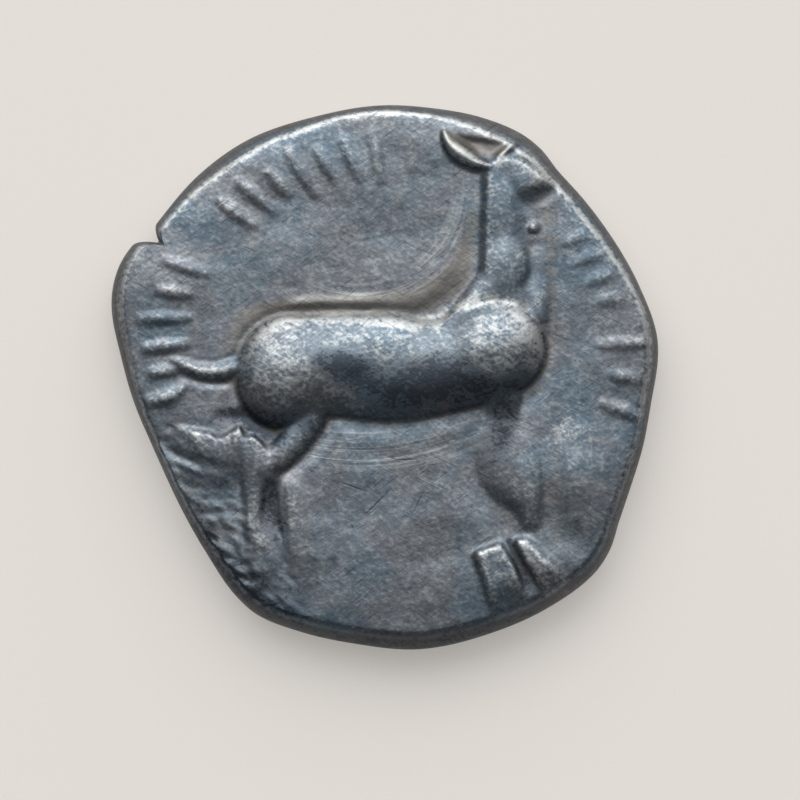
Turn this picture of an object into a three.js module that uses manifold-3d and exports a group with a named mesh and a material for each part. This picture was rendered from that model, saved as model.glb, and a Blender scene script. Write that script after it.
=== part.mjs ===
// A struck silver didrachm: one piece of metal, lying flat with its stag side up.
//
// Lengths are millimetres and angles are degrees. +X points to the right of the stag side, +Y towards
// the stag's head and +Z up. The origin is under the middle of the coin, on the plane that it lies on.

import * as THREE from 'three';
import { mergeVertices } from 'three/addons/utils/BufferGeometryUtils.js';
import Module from 'manifold-3d';

const { clamp, degToRad, lerp, radToDeg, smoothstep } = THREE.MathUtils;

// The flan, a lump of silver cut and rounded by hand before it was struck
const FLAN_RADIUS = 10;
const FLAN_THICKNESS = 2.6;
const EDGE_WIDTH = 0.5;
const EDGE_DROP = 1.05;
const UNDER_EDGE_WIDTH = 0.35;
const UNDER_EDGE_RISE = 0.6;
const FIELD_FALL = 0.2;
const FALL_SHARPNESS = 7;
const ARRIS_SLOPE_TURN = 22;

// The crack that opened in the flan's edge when it was struck
const CRACK_BEARING = 149.2;
const CRACK_DEPTH = 0.62;
const CRACK_WIDTH = 0.5;
const CRACK_TIP_WIDTH = 0.12;
const CRACK_REACH_BEYOND = 0.6;

// The stag side's die: a stag's length from rump to chest, and the height of a share of 1
const STAG_LENGTH = 11.12;
const STAG_RELIEF = 0.98;
const STROKE_RELIEF = 0.08;

// The underside's die: a branch, its field sunk below the rim and the branch. Both stood UNDER_WEAR
// times as high before they were rubbed flat, in the plane that the coin lies on.
const UNDER_SINK = 0.24;
const UNDER_WEAR = 1.5;
const UNDER_RIM_WIDTH = 1.5;
const BRANCH_LENGTH = 12;
const BRANCH_LEAF_PAIRS = 5;

// How finely the two faces are cut into triangles
const FACE_SEGMENTS = 128;
const RIM_SEGMENTS = 128;
const EDGE_STEPS = 3;
const WEAR_PASSES = 2;
const STAG_SIDE_MISS = 0.017;
const UNDERSIDE_MISS = 0.045;

// The flan's outline: [bearing, radius as a share of FLAN_RADIUS], counterclockwise from +X
const OUTLINE = [
  [7.5, 1.008], [19.5, 0.99], [32, 0.976], [43, 0.977], [50, 0.986], [55.5, 1.011], [61, 1.021],
  [70, 1.013], [80, 0.999], [90, 0.994], [105, 0.986], [120, 1.001], [132, 1.004], [147, 1.006],
  [152, 1.038], [158, 1.052], [165, 1.034], [175.5, 0.967], [185.5, 0.922], [195.5, 0.888],
  [205, 0.878], [215.5, 0.89], [225.5, 0.919], [235.5, 0.966], [242, 0.986], [252, 0.981],
  [264, 0.982], [277.5, 1.004], [292, 1.014], [305.5, 1.035], [316.5, 1.051], [322.5, 1.039],
  [328.5, 1.007], [336, 0.986], [345, 0.979], [354.5, 0.98],
];

// How wide the rounded edge looks from above: [bearing, share of EDGE_WIDTH]
const EDGE_SPREAD = [
  [7, 0.66], [17, 0.5], [36, 0.8], [49, 0.84], [60, 1.2], [72, 0.9], [81, 0.62], [100, 0.52],
  [112, 0.8], [128, 0.96], [140, 0.62], [149, 0.5], [158, 0.7], [172, 0.8], [200, 0.6], [215, 0.7],
  [240, 1.1], [270, 1.3], [300, 1.3], [320, 1.1], [342, 0.8],
];

// Everything struck by the stag side's die is placed in hundredths of the stag's length from the
// coin's middle. A limb's stations are [x, y, half-width, height as a share of the relief].
const DIE_UNIT = STAG_LENGTH / 100;
const BODY = 0.6;
const LIMB = 0.7;
const SHIN = 0.9;
const SOFT = 1.2;
// The top of the high ground beside the hock, from left to right
const SHELF_CREST = [
  [-68, -15], [-62, -16.4], [-57, -17.2], [-54.4, -19], [-50, -17], [-47.4, -14.8], [-45.6, -18.6],
  [-43, -18], [-40.6, -19.8], [-37.6, -23.4], [-34.7, -21],
];
const SHELF = {
  height: 0.24, slope: 2, fullTo: 5, goneFrom: 22, leftEnd: [-70, -60], rightEnd: [-36.5, -32.5],
};
const STAG = [
  // barrel, from rump to chest
  limb(BODY, [
    [-30, 3, 17, 0.68], [-14, 3.6, 16.8, 0.72], [1, 3, 17.4, 0.74],
    [12, 2.4, 15.6, 0.71], [22, 4, 15.2, 0.71], [32, 6, 15.2, 0.72],
  ]),
  // haunch and shoulder
  oval(BODY, [-32.5, 1.8], [15.6, 19], -14, 0.75),
  oval(BODY, [36.2, 9.2], [16.8, 16], 0, 0.9),
  // neck and withers, with the swelling of the throat low on the neck and a small pellet in front
  slab(0.22, [
    [29.2, 8, 4], [30.8, 70, 3], [38.8, 73.8, 2.4], [45.6, 72.6, 9], [50, 53, 10], [51.4, 8, 9], [40, 2, 8],
  ]),
  limb(LIMB, [[38, 40, 5, 0.2], [35.4, 31, 6, 0.25], [30, 23.4, 6, 0.3], [23, 16, 5, 0.3]]),
  oval(BODY, [40, 37], [7.8, 11], 3, 0.33),
  limb(SOFT, [[50.4, 39, 4, 0.04], [51, 31, 4.6, 0.07], [49, 21, 5.6, 0.14]]),
  oval(LIMB, [48.6, 49], [2.2, 2], 0, 0.14),
  // head, with the muzzle running off the flan
  slab(0.22, [
    [31.4, 70, 3], [38.8, 73.8, 2.4], [45.6, 72.6, 2.2], [58, 62.4, 4], [55.4, 59, 9], [47, 50, 11],
    [36, 58, 9],
  ]),
  // ear, and what is left of the antler
  limb(LIMB, [
    [34.2, 69, 1.4, 0.3], [30, 69.9, 2.4, 0.36], [26.5, 72, 3.2, 0.4], [23, 74.6, 3.1, 0.38],
    [20.6, 77.5, 1.9, 0.3], [19.3, 81, 0.9, 0.12],
  ]),
  limb(LIMB, [[36, 70, 1.5, 0.2], [39, 73.4, 1.4, 0.2], [43, 77, 1.3, 0.1]]),
  // tail
  limb(SOFT, [
    [-45, 4.4, 3.6, 0.26], [-52, 2, 3.4, 0.2], [-59, 1.6, 3, 0.18], [-65, 3.6, 2.4, 0.14],
    [-69, 5.4, 1.7, 0.05],
  ]),
  // near hind leg: thigh, the high ground beside its hock, cannon bone and hoof
  limb(BODY, [
    [-24.5, -8, 7, 0.38], [-25, -13, 6, 0.35], [-28.6, -19.5, 5.2, 0.31], [-33, -24.6, 5, 0.28],
    [-39, -29.5, 5, 0.22],
  ]),
  hockShelf,
  limb(LIMB, [
    [-40.6, -28, 5.4, 0.22], [-42, -33, 5.2, 0.18], [-42.8, -38, 4.6, 0.15], [-43.4, -43, 3.8, 0.13],
    [-43, -49, 3.8, 0.12], [-41.4, -54.5, 4.8, 0.11], [-39.6, -60, 5.2, 0.1], [-37.4, -65, 4.6, 0.04],
  ]),
  // far hind leg and its hoof
  slab(0.11, [[-34.5, -33, 3], [-25, -31.5, 9], [-19, -47, 9], [-15, -66, 8], [-32.4, -64, 3]]),
  limb(SOFT, [[-29, -54, 5, 0.08], [-26.6, -60, 6, 0.12], [-25.6, -66, 5, 0.04]]),
  // foreleg
  limb(SHIN, [
    [38.3, -5, 7, 0.36], [38.5, -12, 5.6, 0.18], [38.5, -18, 7, 0.16], [39.4, -24.5, 10.4, 0.2],
    [41.4, -31, 10.6, 0.23], [44.8, -37, 7.4, 0.22], [47, -42, 5, 0.17], [48, -47, 3.6, 0.1],
  ]),
];

// The two blocks under the foreleg: corners are [x, y, width of the slope on the side that follows],
// clockwise from the top left
const BLOCK_HEIGHT = 0.27;
const BLOCKS = [
  slab(BLOCK_HEIGHT, [
    [27.6, -57, 1.8], [40.6, -52.2, 1.6], [43.6, -61, 2], [52, -74, 14], [36, -83, 3],
  ]),
  slab(BLOCK_HEIGHT, [
    [41.4, -52.8, 1.8], [52.2, -50, 2.4], [57.4, -60, 4], [66, -68, 14], [56, -77, 2], [45, -61.6, 1.6],
  ]),
];

// The broad swelling in front of the foreleg
const SWELLING = { at: [62, -33], spread: [13, 15], height: 0.2 };

// Rows of shallow strokes around the field. Their length and lean swing with their number in the row.
const STROKE_ROWS = [
  { count: 7, from: 132, to: 92, radius: 72, length: 13, lean: 12, strength: 1 },
  { count: 3, from: 165, to: 151, radius: 74, length: 12, lean: 14, strength: 1 },
  { count: 3, from: 185, to: 172, radius: 72, length: 10, lean: 14, strength: 1.1 },
  { count: 4, from: 36, to: 19, radius: 77, length: 8, lean: -10, strength: 0.5 },
  { count: 3, from: 8, to: -8, radius: 78, length: 11, lean: -10, strength: 0.8 },
];
const STROKE_LENGTH_SWING = 0.28;
const STROKE_LENGTH_WAVE = 2.5;
const STROKE_LEAN_SWING = 3;
const STROKE_LEAN_WAVE = 1.7;
// Stations along a stroke: [share of its half length, half-width, height as a share of the relief]
const STROKE_SECTIONS = [[-1, 2, 0.5], [0, 2.7, 1], [1, 2.4, 0.7]];
const STROKES = STROKE_ROWS.flatMap(strokeRow);

// Height shapes. Each one is a function of x and y that gives a height, and 0 outside the shape.

function dome(away, roundness) {
  return away < 1 ? (1 - away * away) ** roundness : 0;
}

// A curve through the stations, with every column of them interpolated
function smoothPath(stations, stepsPerSpan = 5) {
  const path = [];
  for (let i = 0; i + 1 < stations.length; i += 1) {
    const [before, start, end, after] = [i - 1, i, i + 1, i + 2].map(
      (index) => stations[clamp(index, 0, stations.length - 1)],
    );
    for (let step = 0; step < stepsPerSpan; step += 1) {
      const t = step / stepsPerSpan;
      path.push(start.map((value, column) => {
        const leaving = (end[column] - before[column]) / 2;
        const arriving = (after[column] - value) / 2;
        const rise = end[column] - value;
        return value + t * (leaving + t * (3 * rise - 2 * leaving - arriving
          + t * (leaving + arriving - 2 * rise)));
      }));
    }
  }
  path.push(stations.at(-1));
  return path;
}

function limb(roundness, stations) {
  const path = smoothPath(stations);
  return (x, y) => {
    let height = 0;
    for (let i = 1; i < path.length; i += 1) {
      const [startX, startY, startWidth, startHeight] = path[i - 1];
      const [endX, endY, endWidth, endHeight] = path[i];
      const stepX = endX - startX;
      const stepY = endY - startY;
      const along = clamp(((x - startX) * stepX + (y - startY) * stepY) / (stepX ** 2 + stepY ** 2), 0, 1);
      const away = Math.hypot(x - startX - along * stepX, y - startY - along * stepY);
      const rounding = dome(away / lerp(startWidth, endWidth, along), roundness);
      height = Math.max(height, lerp(startHeight, endHeight, along) * rounding);
    }
    return height;
  };
}

function oval(roundness, [centreX, centreY], [halfLength, halfWidth], turn, height) {
  const cos = Math.cos(degToRad(turn));
  const sin = Math.sin(degToRad(turn));
  return (x, y) => {
    const along = (x - centreX) * cos + (y - centreY) * sin;
    const across = (y - centreY) * cos - (x - centreX) * sin;
    return height * dome(Math.hypot(along / halfLength, across / halfWidth), roundness);
  };
}

function slab(height, corners) {
  return (x, y) => corners.reduce((result, [cornerX, cornerY, slope], index) => {
    const [nextX, nextY] = corners[(index + 1) % corners.length];
    const sideX = nextX - cornerX;
    const sideY = nextY - cornerY;
    const inside = ((y - cornerY) * -sideX + (x - cornerX) * sideY) / Math.hypot(sideX, sideY);
    return result * smoothstep(inside, 0, slope);
  }, height);
}

// High ground beside the hock, with a jagged upper edge. It fades out below and to both sides.
function hockShelf(x, y) {
  const next = SHELF_CREST.findIndex(([crestX]) => crestX > x);
  if (next < 1) return 0;
  const [[startX, startY], [endX, endY]] = [SHELF_CREST[next - 1], SHELF_CREST[next]];
  const underCrest = lerp(startY, endY, (x - startX) / (endX - startX)) - y;
  const rising = smoothstep(underCrest, 0, SHELF.slope);
  const fading = 1 - smoothstep(underCrest, SHELF.fullTo, SHELF.goneFrom);
  const sideways = smoothstep(x, ...SHELF.leftEnd) * (1 - smoothstep(x, ...SHELF.rightEnd));
  return SHELF.height * rising * fading * sideways;
}

// Short strokes side by side along an arc
function strokeRow({ count, from, to, radius, length, lean, strength }) {
  return Array.from({ length: count }, (_, index) => {
    const bearing = degToRad(lerp(from, to, index / (count - 1)));
    const swing = STROKE_LEAN_SWING * Math.sin(index * STROKE_LEAN_WAVE + from);
    const direction = bearing + degToRad(lean + swing);
    const reach = (length / 2) * (1 + STROKE_LENGTH_SWING * Math.sin(index * STROKE_LENGTH_WAVE + from));
    return limb(SOFT, STROKE_SECTIONS.map(([share, width, height]) => [
      radius * Math.cos(bearing) + share * reach * Math.cos(direction),
      radius * Math.sin(bearing) + share * reach * Math.sin(direction),
      width,
      height * strength,
    ]));
  });
}

// Shapes that meet melt into each other: the higher the exponent, the tighter the fillet
const FILLET_EXPONENT = 5;
function melt(shapes, x, y) {
  return shapes.reduce((sum, shape) => sum + shape(x, y) ** FILLET_EXPONENT, 0) ** (1 / FILLET_EXPONENT);
}

// The flan's outline

// Follows [bearing, value] stations once around, smoothly
function around(stations, bearing) {
  const count = stations.length;
  const turn = 360;
  const angle = ((bearing - stations[0][0]) % turn + turn) % turn + stations[0][0];
  const index = stations.findLastIndex(([station]) => station <= angle);
  const at = (offset) => {
    const place = index + offset;
    const [station, value] = stations[(place + count) % count];
    return [station + turn * Math.floor(place / count), value];
  };
  const [[b0, v0], [b1, v1], [b2, v2], [b3, v3]] = [-1, 0, 1, 2].map(at);
  const span = b2 - b1;
  const t = (angle - b1) / span;
  const leaving = (span * (v2 - v0)) / (b2 - b0);
  const arriving = (span * (v3 - v1)) / (b3 - b1);
  return v1 + t * (leaving + t * (3 * (v2 - v1) - 2 * leaving - arriving
    + t * (leaving + arriving - 2 * (v2 - v1))));
}

function bearingOf(x, y) {
  return radToDeg(Math.atan2(y, x));
}

function flanRadius(bearing) {
  return FLAN_RADIUS * around(OUTLINE, bearing);
}

function edgeWidth(bearing) {
  return EDGE_WIDTH * around(EDGE_SPREAD, bearing);
}

// The two struck faces, as heights over the lying plane

function stagSide(x, y) {
  const dieX = x / DIE_UNIT;
  const dieY = y / DIE_UNIT;
  const fall = FIELD_FALL * (Math.hypot(x, y) / flanRadius(bearingOf(x, y))) ** FALL_SHARPNESS;
  const fromSwelling = Math.hypot(
    (dieX - SWELLING.at[0]) / SWELLING.spread[0],
    (dieY - SWELLING.at[1]) / SWELLING.spread[1],
  );
  const swelling = SWELLING.height * Math.exp(-(fromSwelling ** 2));
  const figure = STAG_RELIEF * melt([...STAG, ...BLOCKS], dieX, dieY);
  const strokes = STROKE_RELIEF * melt(STROKES, dieX, dieY);
  return FLAN_THICKNESS - fall + swelling + Math.max(figure, strokes);
}

const BRANCH_UNIT = BRANCH_LENGTH / 100;
const LEAF = { firstFoot: -32, lastFoot: 26, longest: 34, shortest: 24, halfWidth: 7, tipHalfWidth: 2.3 };
// Stations along a leaf: [share of its reach outwards, share of its reach upwards, height]
const LEAF_MIDDLE = [0.6, 0.3, 1];
const LEAF_TIP = [1, 0.75, 0.8];

function leaf(side, share) {
  const foot = lerp(LEAF.firstFoot, LEAF.lastFoot, share);
  const reach = lerp(LEAF.longest, LEAF.shortest, share);
  const station = ([outwards, upwards, height], halfWidth) => [
    side * reach * outwards, foot + reach * upwards, halfWidth, height,
  ];
  const stem = [side * 2, foot, LEAF.tipHalfWidth, 0.9];
  return limb(BODY, [stem, station(LEAF_MIDDLE, LEAF.halfWidth), station(LEAF_TIP, LEAF.tipHalfWidth)]);
}

const BRANCH = [
  limb(LIMB, [[-4, -50, 4.4, 1], [1, -20, 5, 1], [0, 5, 5, 1], [-4, 50, 3, 1]]),
  ...[-1, 1].flatMap((side) => Array.from({ length: BRANCH_LEAF_PAIRS }, (_, index) => (
    leaf(side, index / (BRANCH_LEAF_PAIRS - 1))
  ))),
];

function underside(x, y) {
  const fromEdge = flanRadius(bearingOf(x, y)) - UNDER_EDGE_WIDTH - Math.hypot(x, y);
  const rim = smoothstep(UNDER_RIM_WIDTH - fromEdge, 0, UNDER_RIM_WIDTH);
  const branch = melt(BRANCH, x / BRANCH_UNIT, y / BRANCH_UNIT);
  return UNDER_SINK * (1 - UNDER_WEAR * Math.max(rim, branch));
}

// Meshing

// A square grid bent to the round: each square ring of cells becomes a ring of the disc
function discPlace(column, row, cells) {
  const u = (2 * column) / cells - 1;
  const v = (2 * row) / cells - 1;
  const share = Math.max(Math.abs(u), Math.abs(v));
  if (share === 0) return { share, bearing: 0 };
  const bearing = Math.abs(u) >= Math.abs(v)
    ? 45 * (v / u) + (u < 0 ? 180 : 0)
    : 90 - 45 * (u / v) + (v < 0 ? 180 : 0);
  return { share, bearing };
}

function facePoint(column, row, side) {
  const { share, bearing } = discPlace(column, row, FACE_SEGMENTS);
  const radius = share * (flanRadius(bearing) - side.edge(bearing));
  const x = radius * Math.cos(degToRad(bearing));
  const y = radius * Math.sin(degToRad(bearing));
  return new THREE.Vector3(x, y, share < 1 ? side.at(x, y) : Math.max(side.at(x, y), 0));
}

// Handling rounds what the die left sharp: each height moves to the weighted average around it
const WEAR_WEIGHTS = [1, 2, 1];
const WEAR_TOTAL = WEAR_WEIGHTS.reduce((total, weight) => total + weight, 0) ** 2;
function wearDown(points, size) {
  const heights = points.map((point) => point.z);
  for (let row = 1; row + 1 < size; row += 1) {
    for (let column = 1; column + 1 < size; column += 1) {
      let sum = 0;
      WEAR_WEIGHTS.forEach((rowWeight, rowStep) => WEAR_WEIGHTS.forEach((columnWeight, columnStep) => {
        sum += rowWeight * columnWeight * heights[(row + rowStep - 1) * size + column + columnStep - 1];
      }));
      points[row * size + column].z = Math.max(sum / WEAR_TOTAL, 0);
    }
  }
}

// Halves right-angled triangles across their long sides until each long side's middle lies within
// `miss` of the face. The rim is always cut at the same places, so that the edge can be joined on.
function adaptiveFace(side, miss) {
  const size = FACE_SEGMENTS + 1;
  const rimStep = (4 * FACE_SEGMENTS) / RIM_SEGMENTS;
  const points = Array.from({ length: size * size }, (_, index) => (
    facePoint(index % size, Math.floor(index / size), side)
  ));
  for (let pass = 0; pass < WEAR_PASSES; pass += 1) wearDown(points, size);
  const middle = (a, b) => (a + b) / 2;
  const ownMiss = (a, b) => {
    const m = middle(a, b);
    const column = m % size;
    const row = Math.floor(m / size);
    const fromRim = Math.min(column, row, FACE_SEGMENTS - column, FACE_SEGMENTS - row);
    if (fromRim === 0) return column % rimStep === 0 && row % rimStep === 0 ? Infinity : 0;
    return fromRim <= rimStep / 2 ? 0 : Math.abs(points[m].z - (points[a].z + points[b].z) / 2);
  };

  // A triangle is the ends of its long side and its right-angled corner, counterclockwise from above
  const corners = [0, FACE_SEGMENTS, FACE_SEGMENTS * size, FACE_SEGMENTS * size + FACE_SEGMENTS];
  const halves = [[corners[0], corners[3], corners[1]], [corners[3], corners[0], corners[2]]];
  const deepest = 2 * Math.log2(FACE_SEGMENTS) - 1;
  const misses = new Float64Array(size * size);
  function settle(a, b, right, level, levelsDown) {
    const m = middle(a, b);
    if (levelsDown > 0) {
      settle(right, a, m, level, levelsDown - 1);
      settle(b, right, m, level, levelsDown - 1);
      return;
    }
    const below = level < deepest ? [misses[middle(right, a)], misses[middle(b, right)]] : [];
    misses[m] = Math.max(misses[m], ownMiss(a, b), ...below);
  }
  for (let level = deepest; level >= 0; level -= 1) {
    for (const half of halves) settle(...half, level, level);
  }

  const triangles = [];
  function cut(a, b, right, level) {
    const m = middle(a, b);
    if (level <= deepest && misses[m] > miss) {
      cut(right, a, m, level + 1);
      cut(b, right, m, level + 1);
      return;
    }
    triangles.push([points[a], points[right], points[b]]);
  }
  for (const half of halves) cut(...half, 0);
  return triangles;
}

// The rounded edge: rows of points from the stag side over the rim to the underside. Each half is part
// of an ellipse. It starts with the slope of the arris on the stag side, and level on the underside.
function edgeTriangles() {
  const row = (side, share) => Array.from({ length: RIM_SEGMENTS }, (_, index) => {
    const bearing = (360 * index) / RIM_SEGMENTS;
    const start = degToRad(side.startTurn);
    const turn = lerp(start, Math.PI / 2, share);
    const inward = (1 - Math.sin(turn)) / (1 - Math.sin(start));
    const radius = flanRadius(bearing) - side.edge(bearing) * inward;
    const x = radius * Math.cos(degToRad(bearing));
    const y = radius * Math.sin(degToRad(bearing));
    const height = Math.max(side.at(x, y), 0) + side.fall * (1 - Math.cos(turn) / Math.cos(start));
    return new THREE.Vector3(x, y, height);
  });
  const shares = Array.from({ length: EDGE_STEPS + 1 }, (_, step) => step / EDGE_STEPS);
  const rows = [
    ...shares.map((share) => row(STAG_SIDE, share)),
    ...shares.toReversed().map((share) => row(UNDERSIDE, share)),
  ];
  return rows.slice(1).flatMap((lower, level) => lower.flatMap((point, index) => {
    const next = (index + 1) % RIM_SEGMENTS;
    const upper = rows[level];
    return [[upper[index], point, lower[next]], [upper[index], lower[next], upper[next]]];
  }));
}

// A face is given by its height, how far its rounded edge reaches in, and where that edge goes
const STAG_SIDE = { at: stagSide, edge: edgeWidth, fall: -EDGE_DROP, startTurn: ARRIS_SLOPE_TURN };
const UNDERSIDE = { at: underside, edge: () => UNDER_EDGE_WIDTH, fall: UNDER_EDGE_RISE, startTurn: 0 };

function closedGeometry(triangles) {
  const soup = new THREE.BufferGeometry().setFromPoints(triangles.flat());
  return mergeVertices(soup);
}

// The crack: a wedge through the whole thickness, open beyond the outline and narrowing inwards
function crackWedge() {
  const radius = flanRadius(CRACK_BEARING);
  const mouth = CRACK_DEPTH + CRACK_REACH_BEYOND;
  const mouthWidth = lerp(CRACK_TIP_WIDTH, CRACK_WIDTH, mouth / CRACK_DEPTH);
  const plan = new THREE.Shape([
    new THREE.Vector2(0, -CRACK_TIP_WIDTH / 2),
    new THREE.Vector2(mouth, -mouthWidth / 2),
    new THREE.Vector2(mouth, mouthWidth / 2),
    new THREE.Vector2(0, CRACK_TIP_WIDTH / 2),
  ]);
  const depth = 2 * FLAN_THICKNESS;
  const wedge = new THREE.ExtrudeGeometry(plan, { depth, bevelEnabled: false });
  wedge.translate(radius - CRACK_DEPTH, 0, -depth / 4);
  wedge.rotateZ(degToRad(CRACK_BEARING));
  wedge.deleteAttribute('normal');
  wedge.deleteAttribute('uv');
  return mergeVertices(wedge);
}

const wasm = await Module();
wasm.setup();

function toSolid(geometry) {
  return new wasm.Manifold(new wasm.Mesh({
    numProp: 3,
    vertProperties: new Float32Array(geometry.attributes.position.array),
    triVerts: new Uint32Array(geometry.index.array),
  }));
}

function toGeometry(solid) {
  const { vertProperties, triVerts } = solid.getMesh();
  const geometry = new THREE.BufferGeometry();
  geometry.setAttribute('position', new THREE.BufferAttribute(vertProperties, 3));
  geometry.setIndex(new THREE.BufferAttribute(triVerts, 1));
  geometry.computeVertexNormals();
  return geometry;
}

const struck = closedGeometry([
  ...adaptiveFace(STAG_SIDE, STAG_SIDE_MISS),
  ...adaptiveFace(UNDERSIDE, UNDERSIDE_MISS).map(([a, b, c]) => [a, c, b]),
  ...edgeTriangles(),
]);
const tonedSilver = new THREE.MeshStandardMaterial({ color: '#8d9199', metalness: 0.9, roughness: 0.42 });
const coin = new THREE.Mesh(toGeometry(toSolid(struck).subtract(toSolid(crackWedge()))), tonedSilver);
coin.name = 'coin';

const didrachm = new THREE.Group();
didrachm.name = 'didrachm';
didrachm.add(coin);

export default didrachm;
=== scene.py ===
# %% [markdown]
# # A struck silver didrachm
#
# The real coin is one lump of silver, cast roughly round, heated and struck between two dies. Its
# stag side was struck a little off the middle, so the muzzle runs off the flan, and two thousand
# years of handling and burial have rounded the relief and toned the metal.
#
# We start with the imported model. Its coin has the true outline and main relief, but coarse faces.
# The lesson makes a finer coin in the same place and lets that one stand for it.

# %% The frame
import math

import bpy
import numpy as np
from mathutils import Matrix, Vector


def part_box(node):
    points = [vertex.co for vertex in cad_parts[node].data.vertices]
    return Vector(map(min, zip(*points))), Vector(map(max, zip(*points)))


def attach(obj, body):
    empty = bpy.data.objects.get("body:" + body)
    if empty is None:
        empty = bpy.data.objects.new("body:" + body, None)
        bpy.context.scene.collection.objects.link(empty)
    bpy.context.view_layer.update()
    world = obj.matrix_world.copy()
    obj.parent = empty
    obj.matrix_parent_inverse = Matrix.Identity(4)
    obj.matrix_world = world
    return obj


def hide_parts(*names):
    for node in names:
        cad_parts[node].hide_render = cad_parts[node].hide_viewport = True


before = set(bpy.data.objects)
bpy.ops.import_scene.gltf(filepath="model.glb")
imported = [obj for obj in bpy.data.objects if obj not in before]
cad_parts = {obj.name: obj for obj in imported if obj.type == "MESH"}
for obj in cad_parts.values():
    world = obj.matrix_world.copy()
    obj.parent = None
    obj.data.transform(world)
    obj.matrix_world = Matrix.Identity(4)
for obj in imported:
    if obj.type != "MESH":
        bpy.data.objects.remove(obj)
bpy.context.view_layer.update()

MM = 0.001
cad_low, cad_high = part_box("coin")
print("packed coin, mm:", [round((high - low) / MM, 2) for low, high in zip(cad_low, cad_high)])

# %% [markdown]
# ## The coin's sizes
#
# A few sizes drive everything. The flan is the lump of metal; the die is the hard stamp that gave
# it the picture. They have sizes of their own, because one die struck many flans. All that the die
# made is placed in hundredths of the stag's length, from the middle of the coin.

# %% Sizes of the flan and the die
FLAN_RADIUS = 9.99 * MM
FLAN_THICKNESS = 2.6 * MM
FIELD_FALL = 0.2 * MM
FALL_SHARPNESS = 7
EDGE_WIDTH = 0.5 * MM
EDGE_DROP = 1.05 * MM
UNDER_EDGE_WIDTH = 0.35 * MM
UNDER_EDGE_RISE = 0.6 * MM

STAG_LENGTH = 11.12 * MM
DIE_UNIT = STAG_LENGTH / 100
STAG_RELIEF = 0.95 * MM
STROKE_RELIEF = 0.08 * MM

print("die unit, mm:", round(DIE_UNIT / MM, 4))

# %% [markdown]
# ## The outline
#
# The flan was never round: its edge swells to the upper left and lower right and is nearly straight
# on the lower left. A list of bearings with a radius for each is the plainest way to say that. A
# smooth curve through them gives the radius at any bearing, and numpy works out all bearings at once.

# %% The outline of the flan
OUTLINE = [
    (7.5, 1.008), (19.5, 0.99), (32, 0.976), (43, 0.977), (50, 0.986), (55.5, 1.011), (61, 1.021),
    (70, 1.013), (80, 0.999), (90, 0.994), (105, 0.986), (120, 1.001), (132, 1.004), (147, 1.006),
    (152, 1.038), (158, 1.052), (165, 1.034), (175.5, 0.967), (185.5, 0.922), (195.5, 0.888),
    (205, 0.878), (215.5, 0.89), (225.5, 0.919), (235.5, 0.966), (242, 0.986), (252, 0.981),
    (264, 0.982), (277.5, 1.004), (292, 1.014), (305.5, 1.035), (316.5, 1.051), (322.5, 1.039),
    (328.5, 1.007), (336, 0.986), (345, 0.979), (354.5, 0.98),
]
EDGE_SPREAD = [
    (7, 0.66), (17, 0.5), (36, 0.8), (49, 0.84), (60, 1.2), (72, 0.9), (81, 0.62), (100, 0.52),
    (112, 0.8), (128, 0.96), (140, 0.62), (149, 0.5), (158, 0.7), (172, 0.8), (200, 0.6), (215, 0.7),
    (240, 1.1), (270, 1.3), (300, 1.3), (320, 1.1), (342, 0.8),
]


def cubic(t, start, rise, leaving, arriving):
    """From `start` at t = 0 to `start + rise` at t = 1, with a given slope at each end."""
    bend = 3 * rise - 2 * leaving - arriving
    return start + t * (leaving + t * (bend + t * (leaving + arriving - 2 * rise)))


def around(stations, bearing):
    """Follows (bearing, value) stations once around, smoothly."""
    angles, values = np.array(stations, float).T
    count = len(angles)
    turned = (bearing - angles[0]) % 360 + angles[0]
    index = np.searchsorted(angles, turned, side="right") - 1

    def station(offset):
        laps, place = np.divmod(index + offset, count)
        return angles[place] + 360 * laps, values[place]

    (b0, v0), (b1, v1), (b2, v2), (b3, v3) = (station(offset) for offset in (-1, 0, 1, 2))
    span = b2 - b1
    t = (turned - b1) / span
    leaving = span * (v2 - v0) / (b2 - b0)
    arriving = span * (v3 - v1) / (b3 - b1)
    return cubic(t, v1, v2 - v1, leaving, arriving)


def flan_radius(bearing):
    return FLAN_RADIUS * around(OUTLINE, bearing)


def edge_width(bearing):
    return EDGE_WIDTH * around(EDGE_SPREAD, bearing)


round_trip = flan_radius(np.arange(0.0, 360.0))
print("flan radius, mm: from", round(round_trip.min() / MM, 2), "to", round(round_trip.max() / MM, 2))

# %% [markdown]
# ## The crack
#
# Silver splits at the rim when it is struck too cold. The crack is a narrow notch at the upper left
# that goes right through. It is taken off the radius, which is easier to mesh than a boolean cut.

# %% The crack in the edge
CRACK_BEARING = 149.2
CRACK_DEPTH = 0.62 * MM
CRACK_WIDTH = 1.15 * MM
CRACK_LIPS = 1.9


def crack_depth(bearing):
    from_middle = np.abs(np.radians(bearing - CRACK_BEARING)) * FLAN_RADIUS
    return CRACK_DEPTH * np.clip(1 - from_middle / (CRACK_WIDTH / 2), 0, 1) ** CRACK_LIPS


print("crack depth, mm:", round(crack_depth(CRACK_BEARING) / MM, 2))

# %% [markdown]
# ## Shapes that give a height
#
# A die was cut with a few rounded tools, so the relief is made of a few kinds of swelling. Each one
# here is a function of x and y that gives a height. A sculpt would look as good, but it would be a
# heap of points. Functions can be read, moved and made finer or coarser at will.

# %% A swelling along a curve
def dome(away, roundness):
    return np.clip(1 - away * away, 0, None) ** roundness


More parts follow.
